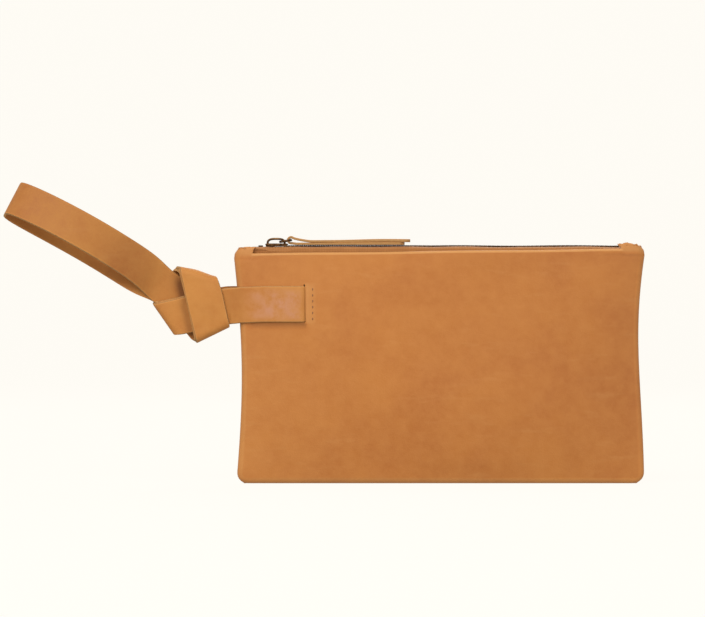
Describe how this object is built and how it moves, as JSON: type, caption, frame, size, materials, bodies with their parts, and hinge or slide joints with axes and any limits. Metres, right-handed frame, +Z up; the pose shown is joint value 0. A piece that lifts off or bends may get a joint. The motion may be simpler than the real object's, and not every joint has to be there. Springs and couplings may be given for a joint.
{
  "type": "wristlet wallet",
  "caption": "Flat zipped leather pouch with a turned-edge body, metal zip with leather pull tab, and a doubled wrist strap tied in an overhand knot and sewn through slits in both faces.",
  "frame": {"origin": "middle of the pouch's flat bottom edge, on the surface that it stands on", "axes": "+X along the zip from the strap's side to the other side, +Y from the front face to the back face, +Z up to the zip"},
  "size_m": [0.3391, 0.0366, 0.1609],
  "materials": {
    "panel_leather": "tan waxed pull-up leather, matt with a soft sheen and cloudy lighter and darker patches",
    "strap_leather": "tan waxed pull-up leather with raw cut edges, a little glossier where it bends",
    "lining_cotton": "plain woven natural cotton",
    "zip_tape": "orange-brown woven polyester zip tape",
    "zip_metal": "antiqued dark bronze, satin",
    "slider_bronze": "antiqued dark bronze, polished on the high spots",
    "thread": "waxed tan sewing thread"
  },
  "bodies": {
    "pouch": {"front_panel": "panel_leather", "back_panel": "panel_leather", "lining_front": "lining_cotton", "lining_back": "lining_cotton", "zip_tape_front": "zip_tape", "zip_tape_back": "zip_tape", "zip_teeth_front": "zip_metal", "zip_teeth_back": "zip_metal", "zip_top_stops": "zip_metal", "zip_bottom_stop": "zip_metal", "strap_front_end": "strap_leather", "strap_back_end": "strap_leather", "strap_stitches_front": "thread", "strap_stitches_back": "thread", "side_seam_stitches": "thread", "bottom_seam_stitches": "thread", "mouth_stitches_front": "thread", "mouth_stitches_back": "thread"},
    "slider": {"slider_body": "slider_bronze", "slider_bail": "slider_bronze"},
    "ring": {"pull_ring": "slider_bronze"},
    "tab": {"pull_tab": "strap_leather"},
    "strap": {"strap_neck": "strap_leather", "strap_knot": "strap_leather"},
    "loop": {"wrist_loop": "strap_leather"}
  },
  "joints": [
    {"name": "zip_travel", "type": "slide", "parent": "pouch", "child": "slider", "axis": [1, 0, 0], "range_m": [0, 0.168], "deforming": ["zip_teeth_front", "zip_teeth_back", "zip_tape_front", "zip_tape_back"]},
    {"name": "ring_swing", "type": "hinge", "parent": "slider", "child": "ring", "pos_m": [-0.0841, 0, 0.12805], "axis": [0, -1, 0], "range_deg": [0, 90]},
    {"name": "tab_swing", "type": "hinge", "parent": "ring", "child": "tab", "pos_m": [-0.07827, 0, 0.12897], "axis": [0, -1, 0], "range_deg": [0, 90]},
    {"name": "strap_swing", "type": "hinge", "parent": "pouch", "child": "strap", "pos_m": [-0.10876, 0, 0.095], "axis": [0, 0, 1], "range_deg": [-50, 50], "stiffness_Nm_per_rad": 0.05},
    {"name": "wrist_loop_swing", "type": "hinge", "parent": "strap", "child": "loop", "pos_m": [-0.14986, 0, 0.1065], "axis": [0.515, 0, 0.8572], "range_deg": [-50, 50], "stiffness_Nm_per_rad": 0.03}
  ]
}
